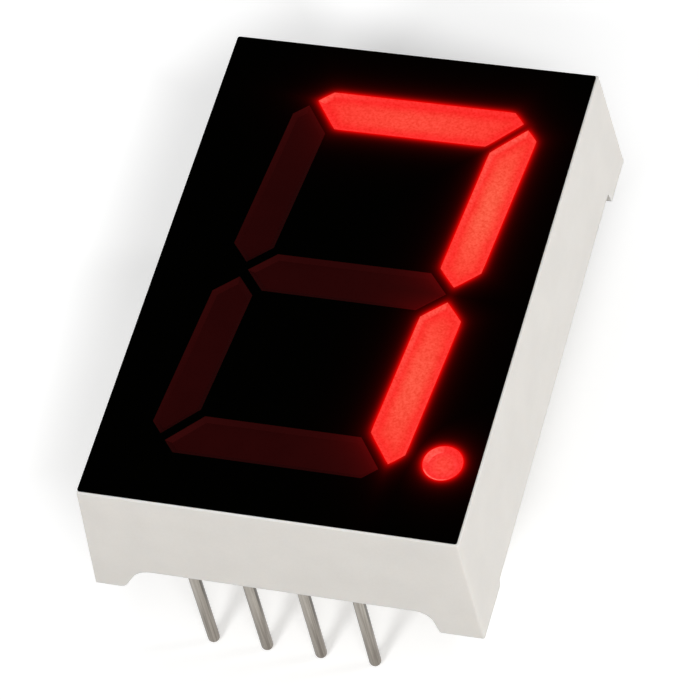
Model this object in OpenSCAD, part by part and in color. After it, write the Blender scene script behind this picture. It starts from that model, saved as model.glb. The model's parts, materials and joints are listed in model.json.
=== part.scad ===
// Single-digit seven segment display with a decimal point, for through-hole mounting.
// Millimetres. +Z is up, +Y runs towards the top of the digit, and the digit is read from above.
// The origin is under the middle of the body, on the surface that the pin tips stand on.

/* [Body] */
// Width of the body at its face
body_w = 17.1; // [16.6:0.1:24]
// Length of the body at its face
body_l = 25.7; // [25.2:0.1:34]
// Height of the body from its feet to its face
body_h = 6.6; // [5.2:0.1:10]
// Outward slope of the side walls, in degrees
draft = 3.2; // [0:0.1:5]
// Thickness of the side walls beside the board
wall_t = 0.9; // [0.7:0.05:1.1]
// Radius of the corners inside the back of the body
recess_r = 0.3; // [0.15:0.05:0.3]

/* [Feet] */
// Height of the arch between the feet on each short side
arch_h = 1.35; // [1:0.05:1.6]
// Slope of the left end of each arch, in degrees
arch_left_slope = 58; // [50:1:80]
// Radius in the upper left corner of each arch
arch_left_r = 1.1; // [0.1:0.05:1.1]
// Radius of the edge where the left foot turns up into each arch
arch_left_edge_r = 0.4; // [0.05:0.05:0.4]
// Slope of the right end of each arch, in degrees
arch_right_slope = 75; // [50:1:80]
// Radius in the upper right corner of each arch
arch_right_r = 0.8; // [0.1:0.05:0.8]
// Radius of the edge where the right foot turns up into each arch
arch_right_edge_r = 0.1; // [0.05:0.05:0.2]
// Distance of each arch's middle to the right of the body's middle
arch_shift = -0.3; // [-0.4:0.05:0.4]
// Mean width of the feet along a short side, on the ground
foot_w = 1.7; // [1.6:0.05:3]
// Height of the relief on each long side beside its front foot
relief_front_h = 0.3; // [0.3:0.05:1]
// Slope of the relief's front end, in degrees
relief_front_slope = 70; // [40:5:80]
// Height of the relief on each long side beside its rear foot
relief_rear_h = 0.8; // [0.3:0.05:1]
// Slope of the relief's rear end, in degrees
relief_rear_slope = 80; // [40:5:80]
// Radius in the upper corners of each relief
relief_r = 0.1; // [0.05:0.05:0.15]
// Radius of the edges where a foot turns up into each relief
relief_edge_r = 0.15; // [0.05:0.05:0.15]
// Distance of each relief's middle behind the body's middle
relief_shift = 0.15; // [-0.4:0.05:0.4]
// Mean length of the feet along a long side, on the ground
foot_l = 2.65; // [2:0.05:6]

/* [Face] */
// Thickness of the black mask printed on the face
mask_t = 0.05; // [0.05:0.05:0.4]
// Width of the white rim left around the mask
mask_margin = 0.1; // [0:0.05:0.4]
// Corner radius of the mask
mask_r = 0.1; // [0.05:0.05:1]

/* [Digit] */
// Height of the digit
digit_h = 20.3; // [14:0.1:22.5]
// Width of the digit before it is slanted
digit_w = 11.4; // [8:0.1:12]
// Slant of the digit to the right, in degrees
slant = 5; // [0:0.5:8]
// Distance from the middle of the face to the middle of the digit
digit_shift = 0.2; // [-0.4:0.05:0.2]
// Width of the four upright bars
bar_w = 1.85; // [1.4:0.05:2.4]
// Width of the three level bars
level_bar_w = 2.05; // [1.4:0.05:2.4]
// Distance of the middle bar below the middle of the digit
middle_drop = 0.15; // [0:0.05:0.5]
// Gap between neighbouring bars, measured square to it
bar_gap = 0.45; // [0.2:0.05:0.8]
// Leg of the cut across each outer corner of the digit
corner_cut = 1.45; // [0.5:0.05:1.7]
// Diameter of the decimal point
point_d = 1.75; // [1.5:0.05:2]
// Gap between the decimal point and the edge of the right-hand bar
point_gap = 0.85; // [0.3:0.05:0.9]
// Height of the decimal point's middle above the foot of the digit
point_up = 1.3; // [1:0.05:3]
// Bars that are lit
lit_bars = "abc"; // [abc:seven, bc:one, abcdefg:eight]

/* [Light wells] */
// How far the walls of each well close in from the face to the board
well_inset = 0.35; // [0.1:0.05:0.4]

/* [Board and chips] */
// Thickness of the circuit board
board_t = 1; // [0.6:0.1:1.6]
// Gap around the edge of the board
board_gap = 0.1; // [0.1:0.05:0.3]
// Side of each square LED chip
chip_w = 0.3; // [0.2:0.01:0.36]
// Height of each LED chip
chip_h = 0.2; // [0.15:0.01:0.3]
// Distance between the two chips of one bar
chip_pitch = 3.6; // [2:0.1:4.4]
// Diameter of each bond wire
wire_d = 0.05; // [0.03:0.01:0.08]
// Radius of the loop that each bond wire makes
wire_loop_r = 0.25; // [0.22:0.01:0.3]

/* [Pins] */
// Diameter of each pin
pin_d = 0.55; // [0.4:0.01:0.66]
// Length of pin below the feet
pin_below = 6.5; // [3:0.1:12]
// Distance between neighbouring pins in a row
pin_pitch = 2.54; // [2:0.01:2.54]
// Distance between the two rows of pins
row_spacing = 22.86; // [15.24:0.01:22.86]
// Places for pins in each row
row_places = 5; // [5:1:5]
// Sides of the shank that grips in the board and in the epoxy
shank_sides = 8; // [4:2:12]
// Gap between a pin and its hole in the board
pin_gap = 0.05; // [0.02:0.01:0.15]
// Height of the solder behind the board
solder_h = 0.3; // [0.2:0.05:0.35]

/* [Potting] */
// Thickness of epoxy behind the board
potting_t = 1; // [0.6:0.1:1.5]
// Depth of the epoxy's surface above the top of the arches
potting_down = 0.05; // [0:0.05:0.6]

/* [Hidden] */
$fn = 48;
arc_step = 10;
overlap = 1;

// Heights, from the pin tips up
z_feet = pin_below;
z_face = z_feet + body_h;
z_deck_top = z_face - mask_t;
z_potting = z_feet + arch_h + potting_down;
z_board = z_potting + potting_t;
z_deck = z_board + board_t;
deck_t = z_deck_top - z_deck;

// Plan sizes: the foot of the walls, the recess behind the deck, and the board in it
base_w = body_w + 2 * tan(draft) * (z_deck_top - z_feet);
base_l = body_l + 2 * tan(draft) * (z_deck_top - z_feet);
recess_w = body_w + 2 * tan(draft) * deck_t - 2 * wall_t;
recess_l = body_l + 2 * tan(draft) * deck_t - 2 * wall_t;

// The solder spreads no further than the wall beside it
solder_r = min(solder_h, (recess_l - row_spacing - pin_d) / 2 - pin_gap);

// Half sizes of the digit, and the gap measured along an axis
half_w = digit_w / 2;
half_h = digit_h / 2;
gap_leg = bar_gap / sqrt(2);

// Place 5 of the front row is empty. Pins are numbered round the body, as seen from above.
PINS = [for (n = [1:2 * row_places]) if (n != row_places) n];

// Each bar: its letter, its outline, the middle of its centre line and the direction of that line
BARS = [
    ["a", top_bar(), [0, half_h - level_bar_w / 2], [1, 0]],
    ["b", upper_bar(), side_middle(), [tan(slant), 1]],
    ["c", lower_bar(), flip_y([side_middle()])[0], [tan(slant), 1]],
    ["d", flip_y(top_bar()), [0, level_bar_w / 2 - half_h], [1, 0]],
    ["e", flip_x(lower_bar()), -side_middle(), [tan(slant), 1]],
    ["f", flip_x(upper_bar()), flip_x([side_middle()])[0], [tan(slant), 1]],
    ["g", middle_bar(), [0, -middle_drop], [1, 0]],
];
// Middle of the decimal point, before the slant
POINT = [half_w + point_gap + point_d / 2, point_up - half_h];

// Each chip: the end of its name, the middle of its site and the direction of its wire
SITES = concat(
    [for (bar = BARS) for (k = [1, 2])
        [str(bar[0], k), on_face(bar[2]) + (2 * k - 3) * chip_pitch / 2 * unit(bar[3]), unit(bar[3])]],
    [["dp", on_face(POINT), [1, 0]]]);

// Colours
SHELL = [0.86, 0.85, 0.82];
MASK = [0.02, 0.02, 0.02];
LIT = [1, 0.15, 0.12];
UNLIT = [0.17, 0.02, 0.04];
BOARD = [0.16, 0.36, 0.2];
CHIP = [0.55, 0.5, 0.45];
GOLD = [0.85, 0.65, 0.25];
TIN = [0.66, 0.63, 0.58];
SOLDER = [0.75, 0.75, 0.76];
POTTING = [0.8, 0.78, 0.72];

// ---- Outlines, all anticlockwise ----

function reversed(points) = [for (i = [len(points) - 1:-1:0]) points[i]];
function flip_x(points) = reversed([for (p = points) [-p[0], p[1]]]);
function flip_y(points) = reversed([for (p = points) [p[0], -p[1]]]);
function unit(v) = v / norm(v);

// A point of the upright digit, slanted and moved to its place on the face
function on_face(p) = [p[0] + p[1] * tan(slant) + digit_shift, p[1]];

// Joins the points of one end to their mirror images at the other
function both_ends(points) = concat(points, flip_x(points));

function top_bar() = both_ends([
    [half_w - bar_w - gap_leg, half_h - level_bar_w],
    [half_w - (corner_cut + gap_leg) / 2, half_h - (corner_cut - gap_leg) / 2],
    [half_w - corner_cut, half_h]]);

// The right-hand bar above a middle bar whose centre line is at the height middle
function side_bar(middle) = [
    [half_w, half_h - corner_cut],
    [half_w - (corner_cut - gap_leg) / 2, half_h - (corner_cut + gap_leg) / 2],
    [half_w - bar_w, half_h - level_bar_w - gap_leg],
    [half_w - bar_w, middle + gap_leg + level_bar_w / 2],
    [half_w - bar_w / 2, middle + gap_leg + (level_bar_w - bar_w) / 2],
    [half_w, middle + gap_leg + level_bar_w / 2]];

function upper_bar() = side_bar(-middle_drop);
function lower_bar() = flip_y(side_bar(middle_drop));

function middle_bar() = both_ends([
    [half_w - bar_w - gap_leg, -middle_drop - level_bar_w / 2],
    [half_w - bar_w - gap_leg + level_bar_w / 2, -middle_drop],
    [half_w - bar_w - gap_leg, -middle_drop + level_bar_w / 2]]);

function side_middle() = [half_w - bar_w / 2, half_h / 2];

function bar_outline(bar) = [for (p = bar[1]) on_face(p)];

// A convex outline with every side moved in by d
function inset(points, d) =
    let (n = len(points))
    [for (i = [0:n - 1])
        let (
            before = unit(points[i] - points[(i + n - 1) % n]),
            after = unit(points[(i + 1) % n] - points[i]))
        points[i] + (after - before) * d / cross(before, after)];

function turned(p, angle) =
    [p[0] * cos(angle) - p[1] * sin(angle), p[0] * sin(angle) + p[1] * cos(angle)];

// A corner turned into an arc that is tangent to both of its sides
function rounded(before, corner, after, r) =
    let (
        u = unit(corner - before),
        v = unit(after - corner),
        turn = atan2(cross(u, v), u * v),
        start = corner - r * tan(abs(turn) / 2) * u,
        inward = sign(turn) * r * [-u[1], u[0]],
        steps = ceil(abs(turn) / arc_step))
    [for (i = [0:steps]) start + inward + turned(-inward, turn * i / steps)];

// The opening between two feet that stand on y = 0, drawn from left to right and open below
function opening(corners, radii) =
    let (
        bend = [for (i = [1:len(corners) - 2])
            each rounded(corners[i - 1], corners[i], corners[i + 1], radii[i - 1])])
    concat([[bend[0][0], -overlap]], bend, [[bend[len(bend) - 1][0], -overlap]]);

// The opening in each short side, as seen from the front
function arch() =
    let (
        left = foot_w - base_w / 2 + arch_shift,
        right = base_w / 2 - foot_w + arch_shift)
    opening(
        [
            [-base_w, 0],
            [left, 0],
            [left + arch_h / tan(arch_left_slope), arch_h],
            [right - arch_h / tan(arch_right_slope), arch_h],
            [right, 0],
            [base_w, 0],
        ],
        [arch_left_edge_r, arch_left_r, arch_right_r, arch_right_edge_r]);

// The opening in each long side, as seen from the right
function relief() =
    let (
        front = foot_l - base_l / 2 + relief_shift,
        rear = base_l / 2 - foot_l + relief_shift)
    opening(
        [
            [-base_l, 0],
            [front, 0],
            [front + relief_front_h / tan(relief_front_slope), relief_front_h],
            [rear - relief_rear_h / tan(relief_rear_slope), relief_rear_h],
            [rear, 0],
            [base_l, 0],
        ],
        [relief_edge_r, relief_r, relief_r, relief_edge_r]);

// ---- Shapes that repeat ----

module rounded_rectangle(w, l, r) {
    square([w - 2 * r, l], center = true);
    square([w, l - 2 * r], center = true);
    for (x = [-1, 1], y = [-1, 1])
        translate([x * (w / 2 - r), y * (l / 2 - r)]) circle(r);
}

// A solid between two outlines with the same number of corners
module frustum(lower, upper, z_lower, z_upper) {
    n = len(lower);
    polyhedron(
        points = concat([for (p = lower) [p[0], p[1], z_lower]], [for (p = upper) [p[0], p[1], z_upper]]),
        faces = concat(
            [[for (i = [0:n - 1]) i]],
            [[for (i = [0:n - 1]) 2 * n - 1 - i]],
            [for (i = [0:n - 1]) let (j = (i + 1) % n) [i, i + n, j + n, j]]));
}

// The light in one bar: a well that closes in towards the board, and its opening in the mask
module bar_well(bar) {
    outline = bar_outline(bar);
    frustum(inset(outline, well_inset), outline, z_deck, z_deck_top);
    translate([0, 0, z_deck_top]) linear_extrude(mask_t) polygon(outline);
}

module point_well() {
    place = on_face(POINT);
    translate([place[0], place[1], z_deck])
        cylinder(h = deck_t, r1 = point_d / 2 - well_inset, r2 = point_d / 2);
    translate([place[0], place[1], z_deck_top]) cylinder(h = mask_t, d = point_d);
}

// Everything that the eight windows fill, with the openings taken past the face
module all_wells() {
    for (bar = BARS) bar_well(bar);
    point_well();
    translate([0, 0, z_deck_top]) linear_extrude(mask_t + overlap) all_openings();
}

module all_openings() {
    for (bar = BARS) polygon(bar_outline(bar));
    translate(on_face(POINT)) circle(d = point_d);
}

// A shape turned and moved to one chip's site, on the face of the board
module at_site(site) {
    translate([site[1][0], site[1][1], z_deck])
        rotate(atan2(site[2][1], site[2][0]))
            children();
}

// Pins 1 to 5 run left to right along the front, and 6 to 10 right to left along the rear
module at_pin(n) {
    front = n <= row_places;
    place = front ? n - 1 : 2 * row_places - n;
    translate([(place - (row_places - 1) / 2) * pin_pitch, (front ? -1 : 1) * row_spacing / 2, 0])
        children();
}

// One view of the walls: sloping sides, with an opening between the feet
module wall_profile(base, top, between_feet) {
    rise = z_deck_top - z_feet;
    difference() {
        polygon([[-base / 2, 0], [base / 2, 0], [top / 2, rise], [-top / 2, rise]]);
        polygon(between_feet);
    }
}

// ---- Pieces ----

module reflector_housing() color(SHELL) difference() {
    translate([0, 0, z_feet]) intersection() {
        translate([0, base_l / 2 + overlap, 0]) rotate([90, 0, 0])
            linear_extrude(base_l + 2 * overlap)
                wall_profile(base_w, body_w, arch());
        translate([-base_w / 2 - overlap, 0, 0]) rotate([90, 0, 90])
            linear_extrude(base_w + 2 * overlap)
                wall_profile(base_l, body_l, relief());
    }
    translate([0, 0, z_feet - overlap]) linear_extrude(z_deck - z_feet + overlap)
        rounded_rectangle(recess_w, recess_l, recess_r);
    all_wells();
}

module face_mask() color(MASK) translate([0, 0, z_deck_top]) linear_extrude(mask_t) difference() {
    rounded_rectangle(body_w - 2 * mask_margin, body_l - 2 * mask_margin, mask_r);
    all_openings();
}

module segment(bar) color(len(search(bar[0], lit_bars)) > 0 ? LIT : UNLIT) difference() {
    bar_well(bar);
    for (site = SITES) if (site[0][0] == bar[0]) {
        chip_shape(site);
        wire_shape(site);
    }
}

module decimal_point() color(LIT) difference() {
    point_well();
    chip_shape(SITES[len(SITES) - 1]);
    wire_shape(SITES[len(SITES) - 1]);
}

module board_outline()
    rounded_rectangle(recess_w - 2 * board_gap, recess_l - 2 * board_gap, recess_r - board_gap);

module circuit_board() color(BOARD) translate([0, 0, z_board]) linear_extrude(board_t) difference() {
    board_outline();
    for (n = PINS) at_pin(n) circle(d = pin_d + 2 * pin_gap);
}

// The chip stands to one side of its site, and its wire comes down on the other
module chip_shape(site) at_site(site) translate([-wire_loop_r - chip_w / 2, -chip_w / 2, 0])
    cube([chip_w, chip_w, chip_h]);

module wire_shape(site) at_site(site) {
    translate([0, 0, chip_h]) rotate([90, 0, 0])
        rotate_extrude(angle = 180) translate([wire_loop_r, 0]) circle(d = wire_d);
    translate([wire_loop_r, 0, 0]) cylinder(h = chip_h, d = wire_d);
}

module chip(site) color(CHIP) chip_shape(site);

module wire(site) color(GOLD) wire_shape(site);

// A round lead with a rounded tip, then a shank with flat sides as far as the face of the board
module pin_shape(n) at_pin(n) {
    translate([0, 0, pin_d / 2]) sphere(d = pin_d);
    translate([0, 0, pin_d / 2]) cylinder(h = z_potting - pin_d / 2, d = pin_d);
    translate([0, 0, z_potting]) cylinder(h = z_deck - z_potting, d = pin_d, $fn = shank_sides);
}

module pin(n) color(TIN) pin_shape(n);

// Solder fills the hole around a pin, and spreads behind the board in a hollow cone
module solder_shape(n) at_pin(n) translate([0, 0, z_board]) rotate_extrude() {
    square([pin_d / 2 + pin_gap, board_t]);
    mirror([0, 1]) difference() {
        square([pin_d / 2 + pin_gap + solder_r, pin_gap + solder_r]);
        translate([pin_d / 2 + pin_gap + solder_r, pin_gap + solder_r]) circle(solder_r);
    }
}

module solder(n) color(SOLDER) difference() {
    solder_shape(n);
    pin_shape(n);
}

// Epoxy fills the recess behind the deck, around the edge of the board and around the pins
module rear_potting() color(POTTING) difference() {
    translate([0, 0, z_potting]) linear_extrude(z_deck - z_potting)
        rounded_rectangle(recess_w, recess_l, recess_r);
    translate([0, 0, z_board]) linear_extrude(board_t + overlap) board_outline();
    for (n = PINS) {
        pin_shape(n);
        solder_shape(n);
    }
}

reflector_housing();
face_mask();
for (bar = BARS)
    segment(bar);
decimal_point();
circuit_board();
for (site = SITES)
    chip(site);
for (site = SITES)
    wire(site);
for (n = PINS)
    pin(n);
for (n = PINS)
    solder(n);
rear_potting();
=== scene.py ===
"""Looks of a single-digit seven segment display with a decimal point.

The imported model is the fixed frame. Solids whose shape is already right get a finish on their own
slots. The shell, the windows and the epoxy behind the board are modelled again in finer detail.
New pieces are modelled in millimetres, and are brought to metres when they are handed over. The
sizes in a finish are in metres.
"""

import json
import logging
import math
from collections.abc import Callable, Iterator
from contextlib import contextmanager
from dataclasses import dataclass, field, replace
from enum import Enum
from functools import cached_property
from typing import Any, Protocol

import bmesh
import bpy
from mathutils import Matrix, Vector


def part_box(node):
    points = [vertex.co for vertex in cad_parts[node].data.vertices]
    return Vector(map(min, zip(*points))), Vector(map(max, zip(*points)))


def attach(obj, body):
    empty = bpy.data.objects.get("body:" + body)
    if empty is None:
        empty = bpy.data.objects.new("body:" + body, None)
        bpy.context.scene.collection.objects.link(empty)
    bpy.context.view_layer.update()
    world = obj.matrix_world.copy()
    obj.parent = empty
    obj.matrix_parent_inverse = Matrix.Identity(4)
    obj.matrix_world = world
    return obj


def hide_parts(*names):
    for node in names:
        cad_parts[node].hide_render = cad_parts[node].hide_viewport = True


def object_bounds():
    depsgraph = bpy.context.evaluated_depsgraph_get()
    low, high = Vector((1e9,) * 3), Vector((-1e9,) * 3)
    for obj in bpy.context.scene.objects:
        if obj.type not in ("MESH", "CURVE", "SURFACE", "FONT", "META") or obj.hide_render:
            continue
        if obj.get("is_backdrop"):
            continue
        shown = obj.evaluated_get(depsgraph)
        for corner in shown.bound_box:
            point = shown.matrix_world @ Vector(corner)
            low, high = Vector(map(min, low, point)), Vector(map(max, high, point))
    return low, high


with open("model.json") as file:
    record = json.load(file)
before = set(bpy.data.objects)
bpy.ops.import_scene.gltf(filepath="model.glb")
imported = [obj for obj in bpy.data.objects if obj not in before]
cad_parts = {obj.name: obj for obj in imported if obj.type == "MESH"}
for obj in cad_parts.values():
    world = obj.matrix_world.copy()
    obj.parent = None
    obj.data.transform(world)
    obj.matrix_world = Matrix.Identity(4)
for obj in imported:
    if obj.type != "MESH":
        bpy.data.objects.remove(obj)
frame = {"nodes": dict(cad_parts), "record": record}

LOG = logging.getLogger("display")
BODY = "root"
MM = 0.001

# The curve between a colour as it shows and a linear one: a straight foot, then a power.
FULL_LEVEL = 255
FOOT_END = 0.04045
FOOT_SLOPE = 12.92
CURVE_OFFSET = 0.055
CURVE_SCALE = 1.055
CURVE_POWER = 2.4

# Octaves of noise in a soft cloud and in a fine grain.
SOFT = 2.0
FINE = 3.0

# Least upward part of the normal of a level face and of a sloping one, and most of an upright one.
LEVEL_FACE = 0.99
SLOPING_FACE = 0.1
UPRIGHT_FACE = 0.5

WHITE = (1.0, 1.0, 1.0)

Colour = tuple[float, float, float]
Way = tuple[float, float, float]
# A level and how far it goes either way, a level and its reach, or a start and an end.
Span = tuple[float, float]
Socket = bpy.types.NodeSocket
Material = bpy.types.Material
Piece = bpy.types.Object


def srgb(red: float, green: float, blue: float) -> Colour:
    """Turns a colour into the linear one that a shader takes.

    Args:
        red: Red as it shows, from 0 to 255.
        green: Green as it shows, from 0 to 255.
        blue: Blue as it shows, from 0 to 255.

    Returns:
        The linear colour.
    """
    shown = (level / FULL_LEVEL for level in (red, green, blue))
    return tuple(
        s / FOOT_SLOPE if s <= FOOT_END else ((s + CURVE_OFFSET) / CURVE_SCALE) ** CURVE_POWER
        for s in shown
    )


def outward(azimuth: float, elevation: float) -> Vector:
    """The way from the object to a place around it.

    Args:
        azimuth: Degrees round from the front, towards the right.
        elevation: Degrees up from the floor.

    Returns:
        The unit vector.
    """
    turn, rise = math.radians(azimuth), math.radians(elevation)
    level = math.cos(rise)
    return Vector((math.sin(turn) * level, -math.cos(turn) * level, math.sin(rise)))


def slots_of_nodes() -> dict[str, str]:
    """The material slot that the record gives to each node."""
    return {row["node"]: row["material_slot"] for row in frame["record"]["subparts"]}


def nodes_named(start: str) -> list[str]:
    """The nodes whose names begin with a word, in order."""
    return sorted(name for name in frame["nodes"] if name.startswith(start))


class Owner(Enum):
    """What a node tree belongs to, with the node that it ends in."""

    MATERIAL = "ShaderNodeOutputMaterial"
    WORLD = "ShaderNodeOutputWorld"


class NodeGraph:
    """The node tree of one material or world, built up a node at a time."""

    # Places of the colour sockets of a Mix node.
    MIX_FACTOR, MIX_FIRST, MIX_SECOND, MIX_RESULT = 0, 6, 7, 2

    def __init__(self, name: str, owner: Owner = Owner.MATERIAL) -> None:
        """Starts an empty tree.

        Args:
            name: Name of the material or world.
            owner: Which of the two it is.
        """
        self.end_node = owner.value
        self.owner = (bpy.data.worlds if owner is Owner.WORLD else bpy.data.materials).new(name)
        self.owner.use_nodes = True
        self.tree = self.owner.node_tree
        self.tree.nodes.clear()

    @cached_property
    def place(self) -> Socket:
        """The surface's own coordinates, in metres."""
        return self.add("ShaderNodeTexCoord").outputs["Object"]

    def add(
        self, kind: str, inputs: dict[Any, Any] | None = None, **settings: Any
    ) -> bpy.types.Node:
        """Adds a node.

        Args:
            kind: The name of its type.
            inputs: Sockets, numbers, colours or vectors, by the name or number of its input.
            **settings: Properties of the node.

        Returns:
            The new node.
        """
        node = self.tree.nodes.new(kind)
        for key, value in settings.items():
            setattr(node, key, value)
        for key, value in (inputs or {}).items():
            socket = node.inputs[key]
            if isinstance(value, Socket):
                self.tree.links.new(value, socket)
            elif socket.type == "RGBA" and len(value) == 3:
                socket.default_value = (*value, 1.0)
            else:
                socket.default_value = value
        return node

    def calc(self, operation: str, *values: Any, clamp: bool = False) -> Socket:
        """Adds a sum on numbers.

        Args:
            operation: The Math node's operation.
            *values: One to three numbers or sockets.
            clamp: Whether the result is kept from 0 to 1.

        Returns:
            The result.
        """
        inputs = dict(enumerate(values))
        node = self.add("ShaderNodeMath", inputs, operation=operation, use_clamp=clamp)
        return node.outputs["Value"]

    def vector(self, operation: str, *values: Any, out: str = "Vector") -> Socket:
        """Adds a sum on vectors.

        Args:
            operation: The Vector Math node's operation.
            *values: One or two vectors or sockets.
            out: The output wanted, "Vector" or "Value".

        Returns:
            The result.
        """
        inputs = dict(enumerate(values))
        return self.add("ShaderNodeVectorMath", inputs, operation=operation).outputs[out]

    def scaled(self, colour: Any, factor: Socket) -> Socket:
        """A colour made lighter or darker by a factor."""
        inputs = {0: colour, "Scale": factor}
        return self.add("ShaderNodeVectorMath", inputs, operation="SCALE").outputs["Vector"]

    def flat(self) -> Socket:
        """The coordinates with no height."""
        return self.vector("MULTIPLY", self.place, (1.0, 1.0, 0.0))

    def stretched(self, size: Way) -> Socket:
        """The coordinates with one step along each axis as long as a size in metres."""
        inputs = {"Vector": self.place, "Scale": tuple(1 / length for length in size)}
        return self.add("ShaderNodeMapping", inputs).outputs["Vector"]

    def axis(self, name: str) -> Socket:
        """One of the coordinates, "X", "Y" or "Z"."""
        return self.add("ShaderNodeSeparateXYZ", {"Vector": self.place}).outputs[name]

    def facing(self, way: Way) -> Socket:
        """How far the surface faces a way, from -1 to 1."""
        normal = self.add("ShaderNodeNewGeometry").outputs["Normal"]
        return self.vector("DOT_PRODUCT", normal, way, out="Value")

    def noise(self, size: float, detail: float = SOFT, place: Socket | None = None) -> Socket:
        """Cloudy noise from 0 to 1.

        Args:
            size: Size of a cloud, in metres, or 1 where the place is already stretched.
            detail: How many finer octaves there are.
            place: The coordinates, or None for the plain ones.

        Returns:
            The noise.
        """
        inputs = {"Vector": place or self.place, "Scale": 1 / size, "Detail": detail}
        return self.add("ShaderNodeTexNoise", inputs).outputs["Fac"]

    def cells(self, size: float) -> Socket:
        """How far each place is from the middle of its cell, in cells of a size in metres."""
        inputs = {"Vector": self.place, "Scale": 1 / size}
        return self.add("ShaderNodeTexVoronoi", inputs).outputs["Distance"]

    def about(self, level: float, spread: float, pattern: Socket) -> Socket:
        """A number that wanders about a level as a pattern does about one half."""
        return self.calc("MULTIPLY_ADD", pattern, 2 * spread, level - spread)

    def mottle(self, *parts: tuple[float, Socket]) -> Socket:
        """A factor that wanders about one.

        Args:
            *parts: How far it goes from one, and the pattern that it follows, one or more times.

        Returns:
            The factor.
        """
        factor = self.about(1.0, *parts[0])
        for spread, pattern in parts[1:]:
            factor = self.calc("MULTIPLY", factor, self.about(1.0, spread, pattern))
        return factor

    def remap(
        self, value: Socket, low: float, high: float, to_low: float, to_high: float
    ) -> Socket:
        """Moves a number from one range to another, smoothly and without leaving it.

        Args:
            value: The number.
            low: Start of the first range.
            high: End of the first range.
            to_low: What the start becomes.
            to_high: What the end becomes.

        Returns:
            The result.
        """
        names = ("Value", "From Min", "From Max", "To Min", "To Max")
        inputs = dict(zip(names, (value, low, high, to_low, to_high)))
        node = self.add("ShaderNodeMapRange", inputs, interpolation_type="SMOOTHSTEP")
        return node.outputs["Result"]

    def mix(self, factor: Any, first: Any, second: Any, blend_type: str = "MIX") -> Socket:
        """Mixes two colours.

        Args:
            factor: How much of the second there is, from 0 to 1.
            first: The first colour.
            second: The second colour.
            blend_type: The Mix node's way of mixing.

        Returns:
            The colour.
        """
        inputs = {self.MIX_FACTOR: factor, self.MIX_FIRST: first, self.MIX_SECOND: second}
        node = self.add("ShaderNodeMix", inputs, data_type="RGBA", blend_type=blend_type)
        return node.outputs[self.MIX_RESULT]

    def bump(self, height: Socket, depth: float) -> Socket:
        """The normal of fine relief, from a pattern and its depth in metres."""
        return self.add("ShaderNodeBump", {"Height": height, "Distance": depth}).outputs["Normal"]

    def surface(self, **inputs: Any) -> Material:
        """Ends the tree with a principled shader.

        Args:
            **inputs: Values of its inputs, with _ for a space in the name.

        Returns:
            The finished material.
        """
        named = {name.replace("_", " "): value for name, value in inputs.items()}
        return self.end(self.add("ShaderNodeBsdfPrincipled", named).outputs["BSDF"])

    def end(self, shader: Socket) -> Any:
        """Joins a shader to the output and returns the material or world."""
        self.add(self.end_node, {"Surface": shader})
        return self.owner


class Finish(Protocol):
    """A finish that needs nothing from the pieces it goes on."""

    def build(self) -> Material:
        """Makes the material."""


@dataclass(frozen=True)
class BarOutline:
    """The convex outline of one bar's window, seen from above, in metres.

    Each edge is the two parts of its outward unit normal, and its offset from the origin.
    """

    DIGITS = 7
    FACE_DEPTH = 0.01 * MM

    edges: tuple[tuple[float, float, float], ...]

    @classmethod
    def of_node(cls, node: str) -> "BarOutline":
        """Reads the outline from the corners of a node's front face.

        Args:
            node: Name of the CAD node.

        Returns:
            The outline.
        """
        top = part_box(node)[1].z
        spots = {
            (round(v.co.x, cls.DIGITS), round(v.co.y, cls.DIGITS))
            for v in frame["nodes"][node].data.vertices
            if v.co.z > top - cls.FACE_DEPTH
        }
        middle = Vector([sum(axis) / len(spots) for axis in zip(*spots)])
        ring = sorted(spots, key=lambda s: math.atan2(s[1] - middle.y, s[0] - middle.x))
        edges = []
        for (x0, y0), (x1, y1) in zip(ring, ring[1:] + ring[:1]):
            length = math.hypot(x1 - x0, y1 - y0)
            normal = ((y1 - y0) / length, (x0 - x1) / length)
            edges.append((*normal, normal[0] * x0 + normal[1] * y0))
        return cls(tuple(edges))

    def distance(self, graph: NodeGraph, rounding: float = 0.0) -> Socket:
        """How far a place is outside the outline, or below zero inside it.

        Args:
            graph: The material's tree.
            rounding: How softly the lines of equal distance turn its corners, in metres.

        Returns:
            The distance in metres.
        """
        furthest = None
        for x, y, offset in self.edges:
            along = graph.vector("DOT_PRODUCT", graph.place, (x, y, 0.0), out="Value")
            beyond = graph.calc("SUBTRACT", along, offset)
            if furthest is None:
                furthest = beyond
            elif rounding > 0:
                furthest = graph.calc("SMOOTH_MAX", furthest, beyond, rounding)
            else:
                furthest = graph.calc("MAXIMUM", furthest, beyond)
        return furthest


@dataclass(frozen=True)
class PointOutline:
    """The round outline of the decimal point's window, seen from above, in metres."""

    x: float
    y: float
    radius: float

    @classmethod
    def of_node(cls, node: str) -> "PointOutline":
        """Reads the outline from a node's box."""
        low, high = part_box(node)
        return cls((low.x + high.x) / 2, (low.y + high.y) / 2, (high.x - low.x) / 2)

    def distance(self, graph: NodeGraph, rounding: float = 0.0) -> Socket:
        """How far a place is outside the circle, or below zero inside it.

        Args:
            graph: The material's tree.
            rounding: Not used, since a circle has no corners to soften.

        Returns:
            The distance in metres.
        """
        reach = graph.vector("DISTANCE", graph.flat(), (self.x, self.y, 0.0), out="Value")
        return graph.calc("SUBTRACT", reach, self.radius)


Outline = BarOutline | PointOutline


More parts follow.
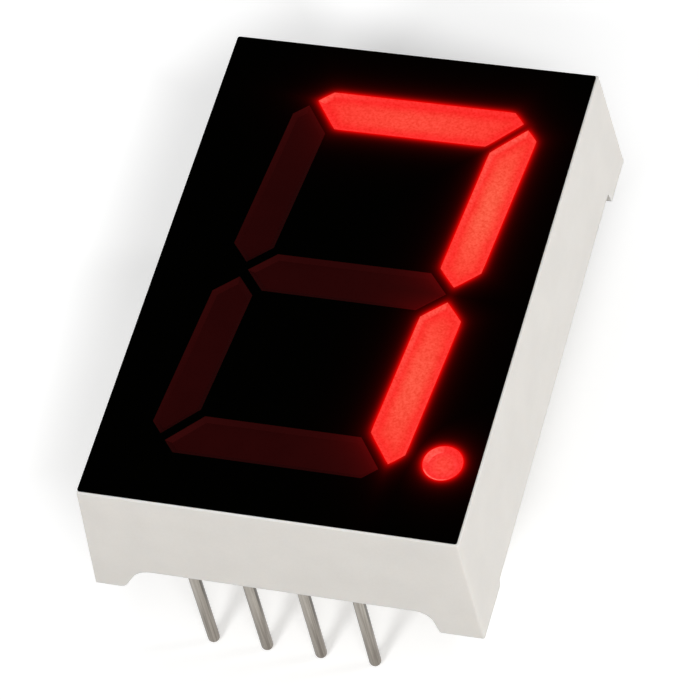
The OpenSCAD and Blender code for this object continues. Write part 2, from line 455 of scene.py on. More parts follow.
@dataclass(frozen=True)
class Halo:
    """Red light around the lit windows, partly leaked into the black film and partly a painted
    glow.

    Light close to the windows adds up, and light further off follows the nearest window. Each part
    is a level at the window, and the distance over which that level falls to about a third.
    """

    outlines: tuple[Outline, ...]
    near: Span = (0.95, 0.09 * MM)
    far: tuple[Span, ...] = ((0.075, 0.27 * MM), (0.007, 0.9 * MM))
    rounding: float = 0.45 * MM

    def build(self, graph: NodeGraph) -> Socket:
        """The level of the leaked light at each place.

        Args:
            graph: The material's tree.

        Returns:
            The level, from 0 up.
        """
        distances = [
            graph.calc("MAXIMUM", outline.distance(graph, self.rounding), 0.0)
            for outline in self.outlines
        ]
        nearest = distances[0]
        for other in distances[1:]:
            nearest = graph.calc("MINIMUM", nearest, other)
        parts = [self.fall(graph, distance, *self.near) for distance in distances]
        parts += [self.fall(graph, nearest, strength, reach) for strength, reach in self.far]
        level = parts[0]
        for part in parts[1:]:
            level = graph.calc("ADD", level, part)
        return level

    @staticmethod
    def fall(graph: NodeGraph, distance: Socket, strength: float, reach: float) -> Socket:
        """A level that falls off with distance.

        Args:
            graph: The material's tree.
            distance: The distance in metres.
            strength: The level at no distance.
            reach: The distance, in metres, over which the level falls to about a third.

        Returns:
            The level.
        """
        power = graph.calc("MULTIPLY", distance, -1 / reach)
        return graph.calc("MULTIPLY", graph.calc("EXPONENT", power), strength)


@dataclass(frozen=True)
class ShellPlastic:
    """Off-white moulded plastic, faintly mottled, with a painted highlight along the left of its
    rim.
    """

    tone: Colour = srgb(221, 217, 211)
    # A painted highlight: the top of the rim is whiter, most on the left, less towards the right.
    rim_highlight_tone: Colour = srgb(248, 245, 241)
    rim_highlight_height: float = 0.06 * MM
    rim_highlight_fade: Span = (1.5 * MM, 8.4 * MM)
    rim_highlight_right: float = 0.3
    blotch_size: float = 2.2 * MM
    blotch_spread: float = 0.06
    grain_size: float = 0.12 * MM
    grain_spread: float = 0.03
    grain_depth: float = 0.003 * MM
    roughness: Span = (0.48, 0.1)
    refraction: float = 1.5
    glow_share: float = 0.6
    glow_depth: float = 0.5 * MM
    glow_reach: Colour = (1.0, 0.9, 0.8)

    def build(self, top: float) -> Material:
        """Makes the material.

        Args:
            top: Height of the shell's rim, in metres.

        Returns:
            The material.
        """
        graph = NodeGraph("shell_plastic")
        blotch = graph.noise(self.blotch_size)
        grain = graph.noise(self.grain_size, FINE)
        shade = graph.mottle((self.blotch_spread, blotch), (self.grain_spread, grain))
        # Painted highlight along the top of the rim, strongest on the left.
        high = graph.remap(graph.axis("Z"), top - self.rim_highlight_height, top, 0.0, 1.0)
        across = graph.remap(graph.axis("X"), *self.rim_highlight_fade, 1.0, self.rim_highlight_right)
        rim = graph.calc("MULTIPLY", high, across)
        return graph.surface(
            Base_Color=graph.scaled(graph.mix(rim, self.tone, self.rim_highlight_tone), shade),
            Roughness=graph.about(*self.roughness, grain),
            Normal=graph.bump(grain, self.grain_depth),
            IOR=self.refraction,
            Subsurface_Weight=self.glow_share,
            Subsurface_Radius=self.glow_reach,
            Subsurface_Scale=self.glow_depth,
        )


@dataclass(frozen=True)
class MaskFilm:
    """Matt black ink, with a painted glow of the lit windows in it."""

    tone: Colour = srgb(1, 1, 0.5)
    tone_spread: float = 0.4
    glow: Colour = (1.0, 0.001, 0.001)
    grain_size: float = 0.08 * MM
    grain_depth: float = 0.002 * MM
    roughness: Span = (0.8, 0.15)
    gloss: float = 0.001

    def build(self, halo: Halo) -> Material:
        """Makes the material.

        Args:
            halo: The light that leaks in from the lit windows.

        Returns:
            The material.
        """
        graph = NodeGraph("mask_film")
        grain = graph.noise(self.grain_size, FINE)
        return graph.surface(
            Base_Color=graph.scaled(self.tone, graph.mottle((self.tone_spread, grain))),
            Roughness=graph.about(*self.roughness, grain),
            Specular_IOR_Level=self.gloss,
            Normal=graph.bump(grain, self.grain_depth),
            # Painted glow of the lit windows, given out by the film.
            Emission_Color=graph.scaled(self.glow, halo.build(graph)),
            Emission_Strength=1.0,
        )


# The way that the lip slopes with a painted highlight face, and how squarely they must face it.
LIT_SIDE: Way = (0.8, -0.6, 0.0)
LIT_TURN: Span = (0.33, 0.58)


@dataclass(frozen=True)
class WindowGlow:
    """Red epoxy lit from behind, brightest over the middle of its floor."""

    centre: Colour = srgb(249, 90, 67)
    edge: Colour = srgb(250, 44, 39)
    # Colours of the lip slopes with painted shade and with a painted highlight, and of a thin
    # painted highlight at the lip's outer edge.
    lip_painted_shade: Colour = srgb(251, 54, 47)
    lip_painted_light: Colour = srgb(252, 82, 70)
    edge_highlight: Colour = srgb(252, 62, 54)
    body: Colour = (0.02, 0.0, 0.0)
    body_spread: float = 0.3
    spread: float = 2.6 * MM
    edge_from: float = 0.06 * MM
    edge_width: float = 0.78 * MM
    lip_from: float = 0.27 * MM
    lip_full: float = 0.09 * MM
    edge_highlight_width: float = 0.07 * MM
    edge_highlight_side: Way = (-0.8, 0.6, 0.0)
    edge_highlight_turn: Span = (0.3, 0.5)
    cloud_size: float = 0.6 * MM
    cloud_shift: float = 0.15 * MM
    grain_size: float = 0.1 * MM
    grain_depth: float = 0.002 * MM
    speckle: Colour = (0.25, 0.8, 1.0)
    roughness: Span = (0.4, 0.1)
    gloss: float = 0.02

    def build(self, name: str, outline: Outline, middle: Vector) -> Material:
        """Makes the material of the pocket: its floor, and the lip that rises from it.

        Args:
            name: Name of the material.
            outline: The window's outline.
            middle: The middle of the window.

        Returns:
            The material.
        """
        graph = NodeGraph(name)
        inside = graph.calc("MULTIPLY", outline.distance(graph), -1.0)
        share = graph.remap(inside, self.lip_full, self.lip_from, 1.0, 0.0)
        floor = self.floor(graph, inside, middle)
        return self.lit(graph, graph.mix(share, floor, self.lip(graph, inside)))

    def floor(self, graph: NodeGraph, inside: Socket, middle: Vector) -> Socket:
        """The colour of the floor, which falls off from the middle as a bell curve does.

        Args:
            graph: The material's tree.
            inside: How far each place is inside the outline, in metres.
            middle: The middle of the window.

        Returns:
            The colour.
        """
        cloud = graph.noise(self.cloud_size, FINE)
        wavy = graph.calc("ADD", inside, graph.about(0.0, self.cloud_shift, cloud))
        across = graph.remap(wavy, self.edge_from, self.edge_width, 0.0, 1.0)
        reach = graph.vector("DISTANCE", graph.flat(), (middle.x, middle.y, 0.0), out="Value")
        fall = graph.calc("POWER", graph.calc("DIVIDE", reach, self.spread), 2.0)
        along = graph.calc("EXPONENT", graph.calc("MULTIPLY", fall, -0.5))
        return graph.mix(graph.calc("MULTIPLY", across, along), self.edge, self.centre)

    def lip(self, graph: NodeGraph, inside: Socket) -> Socket:
        """The colour of the lip: a painted highlight on the slopes that face one way, painted shade
        on the others, and a thin painted highlight at the outer edge on the far side.

        Args:
            graph: The material's tree.
            inside: How far each place is inside the outline, in metres.

        Returns:
            The colour.
        """
        # Painted highlight and painted shade on the lip, by the way each slope faces.
        light = graph.remap(graph.facing(LIT_SIDE), *LIT_TURN, 0.0, 1.0)
        slope = graph.mix(light, self.lip_painted_shade, self.lip_painted_light)
        # A thin painted highlight at the outer edge of the slopes that face the other way.
        outer = graph.remap(inside, 0.0, self.edge_highlight_width, 1.0, 0.0)
        highlight_facing = graph.remap(graph.facing(self.edge_highlight_side), *self.edge_highlight_turn, 0.0, 1.0)
        return graph.mix(graph.calc("MULTIPLY", outer, highlight_facing), slope, self.edge_highlight)

    def lit(self, graph: NodeGraph, colour: Socket) -> Material:
        """Ends a tree with a dark surface that gives out a colour, with a fine grain in it.

        Args:
            graph: The material's tree.
            colour: The colour given out.

        Returns:
            The material.
        """
        grain = graph.noise(self.grain_size, FINE)
        channels = dict(enumerate(graph.mottle((spread, grain)) for spread in self.speckle))
        speckle = graph.add("ShaderNodeCombineColor", channels).outputs["Color"]
        return graph.surface(
            Base_Color=graph.scaled(self.body, graph.mottle((self.body_spread, grain))),
            Roughness=graph.about(*self.roughness, grain),
            Specular_IOR_Level=self.gloss,
            Normal=graph.bump(grain, self.grain_depth),
            Emission_Color=graph.mix(1.0, colour, speckle, "MULTIPLY"),
            Emission_Strength=1.0,
        )


@dataclass(frozen=True)
class WindowDark:
    """Red epoxy with no light behind it, nearly as dark as the mask."""

    tone: Colour = srgb(44, 6.5, 6.5)
    # How much lighter the painted highlight makes the lip slopes that face the lit side.
    lip_painted_light: float = 1.3
    glow: Colour = (1.5, 0.002, 0.008)
    glow_far: tuple[Span, ...] = ((0.075, 0.27 * MM), (0.056, 0.79 * MM))
    cloud_size: float = 1.2 * MM
    cloud_spread: float = 0.12
    grain_size: float = 0.12 * MM
    grain_spread: float = 0.1
    grain_depth: float = 0.002 * MM
    roughness: Span = (0.42, 0.1)
    gloss: float = 0.005

    def build(self, name: str, halo: Halo) -> Material:
        """Makes the material.

        Args:
            name: Name of the material.
            halo: The light that reaches it from the lit windows.

        Returns:
            The material.
        """
        graph = NodeGraph(name)
        cloud = graph.noise(self.cloud_size)
        grain = graph.noise(self.grain_size, FINE)
        shade = graph.mottle((self.cloud_spread, cloud), (self.grain_spread, grain))
        # Painted highlight: the lip slopes that face the lit side are made lighter.
        light = graph.remap(graph.facing(LIT_SIDE), *LIT_TURN, 1.0, self.lip_painted_light)
        # A painted glow from the lit windows, given out by the unlit epoxy.
        leak = replace(halo, far=self.glow_far).build(graph)
        return graph.surface(
            Base_Color=graph.scaled(self.tone, graph.calc("MULTIPLY", shade, light)),
            Roughness=graph.about(*self.roughness, grain),
            Specular_IOR_Level=self.gloss,
            Normal=graph.bump(grain, self.grain_depth),
            Emission_Color=graph.scaled(self.glow, leak),
            Emission_Strength=1.0,
        )


@dataclass(frozen=True)
class TinPlate:
    """Dull tin plating, streaked along its length and darker towards the pin's tip, with painted
    shade standing for dark reflections along its right flank and its left edge.
    """

    bright: Colour = srgb(186, 180, 171)
    dull: Colour = srgb(108, 100, 91)
    mark_size: Way = (0.07 * MM, 0.07 * MM, 3.0 * MM)
    mark_depth: float = 0.002 * MM
    grain_size: float = 0.05 * MM
    grain_spread: float = 0.16
    grain_share: float = 0.5
    streak: Span = (0.5, 0.75)
    tip_fade: Span = (0.5 * MM, 5.0 * MM)
    tip_bright: Span = (-0.26, 0.14)
    # Painted shade standing for dark reflections, on the upper right flank and along the left edge.
    flank_side: Way = (0.89, 0.45, 0.0)
    flank_fade: Span = (1.6 * MM, 4.4 * MM)
    flank_turn: Span = (0.52, 0.72)
    flank_painted_shade: float = 0.62
    edge_turn: Span = (-0.84, -0.97)
    edge_painted_shade: float = 0.5
    metal: float = 0.6
    roughness: Span = (0.36, 0.12)

    def build(self) -> Material:
        """Makes the material.

        Returns:
            The material.
        """
        graph = NodeGraph("tin_plate")
        marks = graph.noise(1.0, FINE, graph.stretched(self.mark_size))
        grain = graph.noise(self.grain_size, FINE)
        height = graph.axis("Z")
        # Darker towards the tip, lighter higher up.
        tip_darkening = graph.remap(height, *self.tip_fade, *self.tip_bright)
        streak = graph.calc("ADD", graph.about(*self.streak, marks), tip_darkening, clamp=True)
        # Painted shade: the upper part of the right flank and the left edge are darkened by the way
        # they face.
        turn = graph.facing(self.flank_side)
        upper = graph.remap(height, *self.flank_fade, 0.0, 1.0)
        flank = graph.remap(turn, *self.flank_turn, 0.0, self.flank_painted_shade)
        right = graph.calc("MULTIPLY", flank, upper)
        left = graph.remap(turn, *self.edge_turn, 0.0, self.edge_painted_shade)
        unshaded = graph.calc("SUBTRACT", graph.calc("SUBTRACT", 1.0, right), left)
        shade = graph.calc("MULTIPLY", unshaded, graph.mottle((self.grain_spread, grain)))
        relief = graph.calc("ADD", marks, graph.calc("MULTIPLY", grain, self.grain_share))
        return graph.surface(
            Base_Color=graph.scaled(graph.mix(streak, self.dull, self.bright), shade),
            Metallic=self.metal,
            Roughness=graph.about(*self.roughness, marks),
            Normal=graph.bump(relief, self.mark_depth),
        )


@dataclass(frozen=True)
class SolderFinish:
    """Bright solder with a frosted, crystalline skin."""

    tone: Colour = srgb(200, 200, 203)
    crystal_size: float = 0.09 * MM
    crystal_depth: float = 0.004 * MM
    cloud_size: float = 0.36 * MM
    cloud_spread: float = 0.1
    roughness: Span = (0.32, 0.14)

    def build(self) -> Material:
        """Makes the material.

        Returns:
            The material.
        """
        graph = NodeGraph("solder")
        crystals = graph.cells(self.crystal_size)
        cloud = graph.noise(self.cloud_size, FINE)
        return graph.surface(
            Base_Color=graph.scaled(self.tone, graph.mottle((self.cloud_spread, cloud))),
            Metallic=1.0,
            Roughness=graph.about(*self.roughness, crystals),
            Normal=graph.bump(crystals, self.crystal_depth),
        )


@dataclass(frozen=True)
class BoardLaminate:
    """Green lacquer over woven glass."""

    # Length of a wave, where the Wave node's scale is one.
    WAVE = 0.314

    tone: Colour = srgb(32, 104, 58)
    thread: float = 0.45 * MM
    weave_spread: float = 0.14
    weave_depth: float = 0.006 * MM
    cloud_size: float = 3.0 * MM
    cloud_spread: float = 0.1
    roughness: Span = (0.32, 0.08)
    lacquer: float = 0.4
    lacquer_roughness: float = 0.2

    def build(self) -> Material:
        """Makes the material.

        Returns:
            The material.
        """
        graph = NodeGraph("board_laminate")
        inputs = {"Vector": graph.place, "Scale": self.WAVE / self.thread}
        waves = [graph.add("ShaderNodeTexWave", inputs, bands_direction=way) for way in ("X", "Y")]
        weave = graph.calc("MULTIPLY", *(wave.outputs["Fac"] for wave in waves))
        cloud = graph.noise(self.cloud_size, FINE)
        shade = graph.mottle((self.weave_spread, weave), (self.cloud_spread, cloud))
        return graph.surface(
            Base_Color=graph.scaled(self.tone, shade),
            Roughness=graph.about(*self.roughness, cloud),
            Normal=graph.bump(weave, self.weave_depth),
            Coat_Weight=self.lacquer,
            Coat_Roughness=self.lacquer_roughness,
        )


@dataclass(frozen=True)
class ChipCrystal:
    """Sawn sides and a polished top."""

    tone: Colour = srgb(126, 118, 108)
    saw_size: Way = (0.1 * MM, 0.1 * MM, 0.02 * MM)
    saw_depth: float = 0.001 * MM
    cloud_size: float = 0.15 * MM
    cloud_spread: float = 0.12
    metal: float = 0.6
    roughness: Span = (0.35, 0.15)

    def build(self) -> Material:
        """Makes the material.

        Returns:
            The material.
        """
        graph = NodeGraph("chip_crystal")
        saw = graph.noise(1.0, SOFT, graph.stretched(self.saw_size))
        cloud = graph.noise(self.cloud_size)
        return graph.surface(
            Base_Color=graph.scaled(self.tone, graph.mottle((self.cloud_spread, cloud))),
            Metallic=self.metal,
            Roughness=graph.about(*self.roughness, saw),
            Normal=graph.bump(saw, self.saw_depth),
        )


@dataclass(frozen=True)
class GoldWire:
    """Drawn gold."""

    tone: Colour = srgb(235, 190, 100)
    tone_spread: float = 0.08
    grain_size: float = 0.03 * MM
    grain_depth: float = 0.0008 * MM
    roughness: Span = (0.24, 0.1)

    def build(self) -> Material:
        """Makes the material.

        Returns:
            The material.
        """
        graph = NodeGraph("gold_wire")
        grain = graph.noise(self.grain_size)
        return graph.surface(
            Base_Color=graph.scaled(self.tone, graph.mottle((self.tone_spread, grain))),
            Metallic=1.0,
            Roughness=graph.about(*self.roughness, grain),
            Normal=graph.bump(grain, self.grain_depth),
        )


@dataclass(frozen=True)
class PottingEpoxy:
    """Milky cast resin with a gloss and a few small bubbles."""

    tone: Colour = srgb(214, 206, 190)
    cloud_size: float = 3.0 * MM
    cloud_spread: float = 0.07
    bubble_pitch: float = 1.1 * MM
    bubble_rim: Span = (0.04, 0.09)
    bubble_shade: Span = (0.95, 0.05)
    bubble_share: float = 0.25
    relief: float = 0.05 * MM
    roughness: Span = (0.2, 0.08)
    refraction: float = 1.5

    def build(self) -> Material:
        """Makes the material.

        Returns:
            The material.
        """
        graph = NodeGraph("potting_epoxy")
        cloud = graph.noise(self.cloud_size, FINE)
        bubbles = graph.remap(graph.cells(self.bubble_pitch), *self.bubble_rim, 0.0, 1.0)
        clouded = graph.mottle((self.cloud_spread, cloud))
        shade = graph.calc("MULTIPLY", clouded, graph.about(*self.bubble_shade, bubbles))
        height = graph.calc("ADD", cloud, graph.calc("MULTIPLY", bubbles, self.bubble_share))
        return graph.surface(
            Base_Color=graph.scaled(self.tone, shade),
            Roughness=graph.about(*self.roughness, cloud),
            Normal=graph.bump(height, self.relief),
            IOR=self.refraction,
        )


class Element(Enum):
    """What a selection in edit mode is made of."""

    EDGE = "EDGE"
    FACE = "FACE"


class Bench:
    """A copy of one node on the bench, where it is modelled in millimetres."""

    # How close a point is to a side that it lies on, how close points are to be one, how nearly
    # flat faces are to be one, and how sharp an edge shows.
    REACH = 0.005
    MERGE = 0.001
    FLAT = math.radians(0.5)
    SMOOTH = math.radians(30)

    def __init__(self, name: str, node: str) -> None:
        """Copies a node, joins its loose triangles and makes its flat faces whole.

        Args:
            name: Name of the new piece.
            node: Name of the CAD node that it stands for.
        """
        self.node = node
        self.piece = bpy.data.objects.new(name, frame["nodes"][node].data.copy())
        self.piece.data.name = name
        self.piece.data.materials.clear()
        bpy.context.scene.collection.objects.link(self.piece)
        self.resize(1 / MM)
        bpy.ops.mesh.customdata_custom_splitnormals_clear()
        with self.editing():
            bpy.ops.mesh.select_all(action="SELECT")
            bpy.ops.mesh.remove_doubles(threshold=self.MERGE)
            bpy.ops.mesh.dissolve_limited(angle_limit=self.FLAT)

    def resize(self, factor: float) -> None:
        """Scales the piece about the origin and applies the scale.

        Args:
            factor: How many times larger it gets.
        """
        bpy.ops.object.select_all(action="DESELECT")
        self.piece.select_set(True)
        bpy.context.view_layer.objects.active = self.piece
        self.piece.scale = (factor, factor, factor)
        bpy.ops.object.transform_apply(location=True, rotation=True, scale=True)

    @contextmanager
    def editing(self) -> Iterator[None]:
        """Holds the piece in edit mode.

        Yields:
            Nothing: what is done meanwhile is done to the piece.
        """
        bpy.ops.object.mode_set(mode="EDIT")
        try:
            yield
        finally:
            bpy.ops.object.mode_set(mode="OBJECT")

    def select(self, kind: Element, wanted: Callable[[Any], bool]) -> int:
        """Selects the edges or faces that pass a test, and nothing else.

        Args:
            kind: What is selected.
            wanted: The test of one edge or face.

        Returns:
            How many passed.
        """
        bpy.ops.mesh.select_mode(type=kind.value)
        bpy.ops.mesh.select_all(action="DESELECT")
        shape = bmesh.from_edit_mesh(self.piece.data)
        elements = shape.edges if kind is Element.EDGE else shape.faces
        chosen = [element for element in elements if wanted(element)]
        for element in chosen:
            element.select_set(True)
        bmesh.update_edit_mesh(self.piece.data)
        return len(chosen)

    def select_end(self, height: float, way: int) -> None:
        """Selects the level faces at one end of the piece.

        Args:
            height: The height of that end.
            way: 1 where they face up, or -1 where they face down.
        """
        self.select(
            Element.FACE,
            lambda face: way * face.normal.z > LEVEL_FACE
            and abs(face.calc_center_median().z - height) < self.REACH,
        )

    def hand_over(self, *materials: Material) -> Piece:
        """Brings the piece back to metres, dresses it and lets it stand for its node.

        Args:
            *materials: Its materials, in the order of its slots.

        Returns:
            The finished piece.
        """
        self.resize(MM)
        bpy.ops.object.shade_smooth_by_angle(angle=self.SMOOTH)
        slots = self.piece.data.materials
        for place, material in enumerate(materials):
            if place == len(slots):
                slots.append(None)
            slots[place] = material
        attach(self.piece, BODY)
        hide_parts(self.node)
        return self.piece


@dataclass
class Housing:
    """The white shell, with its outer edges rounded."""

    edge_radius: float = 0.09
    edge_steps: int = 3
    finish: ShellPlastic = ShellPlastic()

    def build(self) -> list[Piece]:
        """Models and dresses the shell.

        Returns:
            The pieces made.
        """
        bench = Bench("shell", "reflector_housing")
        low, high = (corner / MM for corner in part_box("reflector_housing"))
        top = [v.co for v in bench.piece.data.vertices if v.co.z > high.z - bench.REACH]
        slope = (high.x - max(p.x for p in top)) / (high.z - low.z)

        def sides(point: Vector) -> set[str]:
            """Finds the outer sides of the shell that a point lies on.

            Args:
                point: The point, in millimetres.

            Returns:
                The names of the sides.
            """
            closing = slope * (point.z - low.z)
            found = {
                "left": point.x - low.x - closing,
                "right": high.x - closing - point.x,
                "front": point.y - low.y - closing,
                "rear": high.y - closing - point.y,
                "top": high.z - point.z,
            }
            return {side for side, gap in found.items() if abs(gap) < bench.REACH}

        with bench.editing():
            count = bench.select(
                Element.EDGE,
                lambda edge: len(sides(edge.verts[0].co) & sides(edge.verts[1].co)) > 1,
            )
            LOG.info("shell: %d outer edges rounded", count)
            bpy.ops.mesh.bevel(offset=self.edge_radius, segments=self.edge_steps, affect="EDGES")
        return [bench.hand_over(self.finish.build(high.z * MM))]


class Light(Enum):
    """Whether a window has light behind it, by the slot that the record gives it."""

    LIT = "window_lit"
    DARK = "window_dark"


@dataclass
class Windows:
    """The eight windows, each a shallow pocket with a sloping lip."""

    POCKET_SLOT = 1

    lip_width: float = 0.23
    pocket_depth: float = 0.15
    darks: dict[str, WindowDark] = field(
        default_factory=lambda: {
            "segment_f": WindowDark(glow_far=((0.07, 0.27 * MM), (0.018, 0.9 * MM))),
        }
    )
    glows: dict[str, WindowGlow] = field(
        default_factory=lambda: {
            "segment_a": WindowGlow(
                centre=srgb(250, 71, 56),
                edge=srgb(250, 38, 36),
                lip_painted_shade=srgb(251, 47, 43),
                spread=3.5 * MM,
            ),
            "segment_c": WindowGlow(centre=srgb(249, 84, 64)),
            "decimal_point": WindowGlow(
                centre=srgb(252, 68, 57),
                edge=srgb(252, 54, 52),
                # The decimal point's lip has its own painted shade, painted highlight and thin
                # painted highlight at the outer edge.
                lip_painted_shade=srgb(251, 48, 45),
                lip_painted_light=srgb(253, 86, 76),
                edge_highlight=srgb(255, 118, 106),
                edge_highlight_side=(0.3, 0.95, 0.0),
                lip_from=0.3 * MM,
                lip_full=0.2 * MM,
                edge_highlight_width=0.12 * MM,
            ),
        }
    )

    def nodes(self) -> list[str]:
        """The nodes of the windows."""
        return [*nodes_named("segment_"), "decimal_point"]

    def outline(self, node: str) -> Outline:
        """The outline of a window."""
        return PointOutline.of_node(node) if node == "decimal_point" else BarOutline.of_node(node)

    def light(self, node: str) -> Light:
        """Whether a window is lit."""
        return Light(slots_of_nodes()[node])

    def halo(self) -> Halo:
        """The light that leaks from every lit window."""
        return Halo(tuple(self.outline(n) for n in self.nodes() if self.light(n) is Light.LIT))

    def pocket(self, node: str) -> Bench:
        """Copies a window and sinks its front face in a sloping lip.

        Args:
            node: The window's node.

        Returns:
            The piece on its bench, with its lip and floor in the pocket's slot.
        """
        bench = Bench("window_" + node.removeprefix("segment_").removeprefix("decimal_"), node)
        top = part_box(node)[1].z / MM
        for _ in range(self.POCKET_SLOT + 1):
            bench.piece.data.materials.append(None)
        with bench.editing():
            bench.select_end(top, 1)
            bpy.ops.mesh.inset(thickness=self.lip_width, depth=-self.pocket_depth)
            shape = bmesh.from_edit_mesh(bench.piece.data)
            for face in shape.faces:
                above = face.calc_center_median().z > top - self.pocket_depth
                if face.select or (face.normal.z > SLOPING_FACE and above):
                    face.material_index = self.POCKET_SLOT
            bmesh.update_edit_mesh(bench.piece.data)
        return bench

    def build(self) -> list[Piece]:
        """Models and dresses the windows.

        Returns:
            The pieces made.
        """
        halo = self.halo()
        unlit = WindowDark().build("window_dark", halo)
        made = []
        for node in self.nodes():
            bench = self.pocket(node)
            if self.light(node) is Light.LIT:
                glow = self.glows.get(node, WindowGlow())
                middle = sum(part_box(node), Vector()) / 2
                materials = [unlit, glow.build(f"{node}_glow", self.outline(node), middle)]
            elif node in self.darks:
                materials = [self.darks[node].build(f"{node}_dark", halo)] * 2
            else:
                materials = [unlit] * 2
            made.append(bench.hand_over(*materials))
        return made


@dataclass
class Potting:
    """The epoxy behind the board, which creeps up the walls and the pins.

    Each step of the creep is how far it goes in from the last one, and how deep.
    """

    creep: tuple[Span, ...] = ((0.02, 0.02), (0.04, 0.018), (0.06, 0.009), (0.07, 0.003))
    finish: PottingEpoxy = PottingEpoxy()

    def build(self) -> list[Piece]:
        """Models and dresses the epoxy.

        Returns:
            The pieces made.
        """
        bench = Bench("epoxy", "rear_potting")
        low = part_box("rear_potting")[0].z / MM
        with bench.editing():
            bench.select_end(low, -1)
            climb = sum(depth for _, depth in self.creep)
            bpy.ops.transform.translate(value=(0, 0, -climb))
            for width, depth in self.creep:
                bpy.ops.mesh.inset(thickness=width, depth=-depth)
        return [bench.hand_over(self.finish.build())]


@dataclass
class PlainParts:
    """The solids whose shape is already right, and which only need a finish."""

    finishes: dict[str, Finish] = field(
        default_factory=lambda: {
            "pin_": TinPlate(),
            "solder_": SolderFinish(),
            "circuit_board": BoardLaminate(),
            "chip_": ChipCrystal(),
            "wire_": GoldWire(),
        }
    )

    def build(self) -> list[Piece]:
        """Dresses the nodes.

        Returns:
            The nodes dressed.
        """
        dressed = []
        for start, finish in self.finishes.items():
            material = finish.build()
            for node in nodes_named(start):
                piece = frame["nodes"][node]
                for slot in piece.material_slots:
                    slot.material = material
                dressed.append(piece)
        return dressed


@dataclass
class FaceMask:
    """The black film printed on the face, a hair off centre, so that it meets the left edge."""

    off_centre: float = 0.08
    reach: float = 0.15
    finish: MaskFilm = MaskFilm()

    def build(self, halo: Halo) -> list[Piece]:
        """Models and dresses the film.

        Args:
            halo: The light that leaks in from the lit windows.

        Returns:
            The pieces made.
        """
        bench = Bench("film", "face_mask")
        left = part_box("face_mask")[0].x / MM
        with bench.editing():
            bench.select(
                Element.FACE,
                lambda face: abs(face.normal.z) < UPRIGHT_FACE
                and all(v.co.x < left + self.reach for v in face.verts),
            )
            bpy.ops.transform.translate(value=(-self.off_centre, 0, 0))
        return [bench.hand_over(self.finish.build(halo))]


@dataclass(frozen=True)
class Lamp:
    """A round lamp that looks at the object from one side.

    Its angles are in degrees. At a level of one, a white surface that faces it shows full white.
    """

    name: str
    azimuth: float
    elevation: float
    distance: float
    width: float
    level: float

    def build(self, aim: Vector) -> None:
        """Makes the lamp.

        Args:
            aim: The place that it looks at.
        """
        data = bpy.data.lights.new(self.name, "AREA")
        data.shape = "DISK"
        data.size = self.width
        data.energy = self.level * math.pi**2 * self.distance**2
        lamp = bpy.data.objects.new(self.name, data)
        bpy.context.scene.collection.objects.link(lamp)
        back = outward(self.azimuth, self.elevation)
        lamp.location = aim + back * self.distance
        lamp.rotation_euler = back.to_track_quat("Z", "Y").to_euler()


@dataclass(frozen=True)
class FloorFade:
    """One way in which the floor grows lighter, between two distances in millimetres."""

    way: Way
    start: float
    end: float
    amount: float

    def build(self, graph: NodeGraph) -> Socket:
        """Makes the share of the far lift that is added.

        Args:
            graph: The floor's node tree.

        Returns:
            The share, from zero to the amount.
        """
        along = graph.vector("DOT_PRODUCT", graph.place, self.way, out="Value")
        return graph.remap(along, self.start * MM, self.end * MM, 0.0, self.amount)


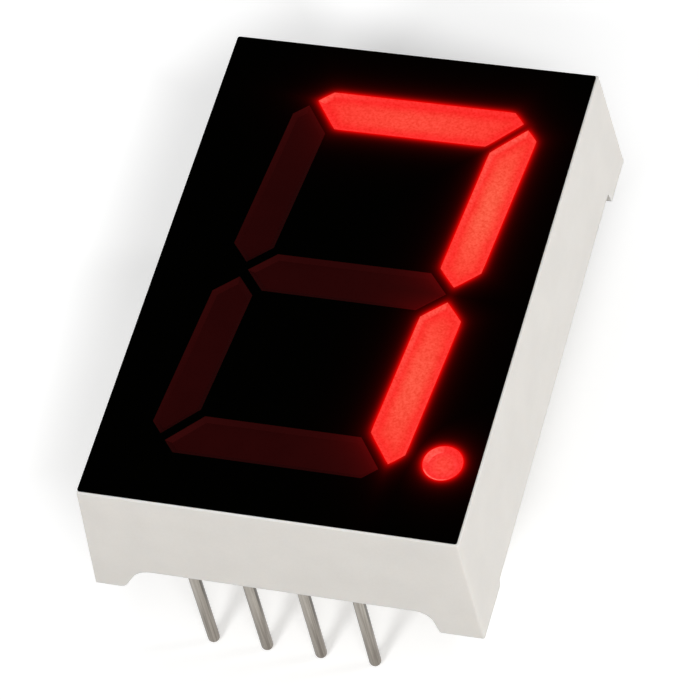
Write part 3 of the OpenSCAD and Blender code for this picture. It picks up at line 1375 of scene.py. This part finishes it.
@dataclass(frozen=True)
class Studio:
    """Camera, floor, sky and lamps.

    The camera's aim is given from the middle of the object's top. The floor is lifted a little more
    at some distance from the body, where its shadow fades out.
    """

    lens: float = 236.88
    aim_x: float = 1.32 * MM
    aim_y: float = -3.7 * MM
    azimuth: float = 26.95
    elevation: float = 52.8
    roll: float = 14.66
    distance: float = 199.91 * MM
    clip: Span = (1 * MM, 10.0)
    sky: float = 0.27
    floor_size: float = 1.2
    floor_tone: float = 0.6
    floor_shown: float = 0.9
    floor_cloud_size: float = 30.0 * MM
    floor_cloud_spread: float = 0.002
    floor_lift: float = 0.28
    floor_lift_far: float = 0.29
    floor_fades: tuple[FloorFade, ...] = (
        FloorFade((-1.0, 0.0, 0.0), 14.2, 20.4, 1.0),
        FloorFade((-1.0, 1.0, 0.0), 33.2, 39.8, 0.72),
        FloorFade((0.75, 3.0, 0.0), 62.0, 75.0, 1.0),
        FloorFade((1.0, 1.0, 0.0), 16.0, 28.3, 1.0),
        FloorFade((1.0, 0.0, 0.0), 4.8, 8.8, 1.0),
        FloorFade((-1.0, -1.0, 0.0), 17.5, 21.5, 0.3),
        FloorFade((0.0, -1.0, 0.0), 8.0, 12.0, 0.25),
    )
    lamps: tuple[Lamp, ...] = (
        Lamp("key", -10.7, 40.0, 0.3, 0.08, 0.375),
        Lamp("fill", 29.0, 42.0, 0.3, 0.12, 0.272),
        Lamp("side", 108.0, 7.0, 0.22, 0.05, 0.465),
    )

    def build(self) -> None:
        """Sets the stage."""
        scene = bpy.context.scene
        scene.view_settings.view_transform = "Standard"
        low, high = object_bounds()
        middle = (low + high) / 2
        self.camera(Vector((middle.x + self.aim_x, middle.y + self.aim_y, high.z)))
        self.world()
        self.floor(low.z)
        for lamp in self.lamps:
            lamp.build(Vector((middle.x, middle.y, low.z)))

    def camera(self, aim: Vector) -> None:
        """Makes the camera.

        Args:
            aim: The place that it looks at.
        """
        turn, roll = math.radians(self.azimuth), math.radians(self.roll)
        back = outward(self.azimuth, self.elevation)
        level = Vector((math.cos(turn), math.sin(turn), 0.0))
        upright = back.cross(level)
        right = level * math.cos(roll) - upright * math.sin(roll)
        up = back.cross(right)
        data = bpy.data.cameras.new("camera")
        data.lens = self.lens
        data.clip_start, data.clip_end = self.clip
        camera = bpy.data.objects.new("camera", data)
        bpy.context.scene.collection.objects.link(camera)
        turned = Matrix((right, up, back)).transposed()
        camera.matrix_world = Matrix.Translation(aim + back * self.distance) @ turned.to_4x4()
        bpy.context.scene.camera = camera

    @staticmethod
    def seen(graph: NodeGraph) -> Socket:
        """Tells what the camera sees from what only gives light.

        Args:
            graph: The node tree.

        Returns:
            One for what is seen straight, mirrored or through glass, and zero for light.
        """
        path = graph.add("ShaderNodeLightPath").outputs
        found = graph.calc("MAXIMUM", path["Is Camera Ray"], path["Is Glossy Ray"])
        return graph.calc("MAXIMUM", found, path["Is Transmission Ray"])

    def world(self) -> None:
        """Makes the sky: white to look at, and softer as a light."""
        graph = NodeGraph("sky", Owner.WORLD)
        inputs = {0: self.seen(graph)}
        for place, level in enumerate((self.sky, 1.0), 1):
            sky = graph.add("ShaderNodeBackground", {"Color": WHITE, "Strength": level})
            inputs[place] = sky.outputs["Background"]
        either = graph.add("ShaderNodeMixShader", inputs)
        bpy.context.scene.world = graph.end(either.outputs["Shader"])

    def floor(self, height: float) -> None:
        """Makes the floor, which keeps its shadows but is lifted to white for the eye.

        Args:
            height: Height of the floor, in metres.
        """
        bpy.ops.object.select_all(action="DESELECT")
        bpy.ops.mesh.primitive_plane_add(size=self.floor_size, location=(0, 0, height))
        plane = bpy.context.object
        plane.name = "floor"
        graph = NodeGraph("floor_paper")
        seen = self.seen(graph)
        tone = graph.calc("MULTIPLY_ADD", seen, self.floor_shown - self.floor_tone, self.floor_tone)
        cloud = graph.mottle((self.floor_cloud_spread, graph.noise(self.floor_cloud_size)))
        colour = graph.scaled(WHITE, graph.calc("MULTIPLY", tone, cloud))
        matt = graph.add("ShaderNodeBsdfDiffuse", {"Color": colour}).outputs["BSDF"]
        far = 0.0
        for fade in self.floor_fades:
            far = graph.calc("MAXIMUM", fade.build(graph), far)
        level = graph.calc("MULTIPLY_ADD", far, self.floor_lift_far, self.floor_lift)
        strength = graph.calc("MULTIPLY", seen, level)
        lift = graph.add("ShaderNodeEmission", {"Strength": strength}).outputs["Emission"]
        both = graph.add("ShaderNodeAddShader", {0: matt, 1: lift}).outputs["Shader"]
        plane.data.materials.append(graph.end(both))
        plane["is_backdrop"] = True


def main() -> None:
    """Builds the looks, piece by piece."""
    logging.basicConfig(level=logging.INFO, format="%(name)s: %(message)s")
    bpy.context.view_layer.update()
    windows = Windows()
    halo = windows.halo()
    made = Housing().build() + windows.build() + FaceMask().build(halo)
    made += Potting().build() + PlainParts().build()
    for piece in made:
        LOG.info("%s: %d faces", piece.name, len(piece.data.polygons))
    Studio().build()


if __name__ == "__main__":
    main()
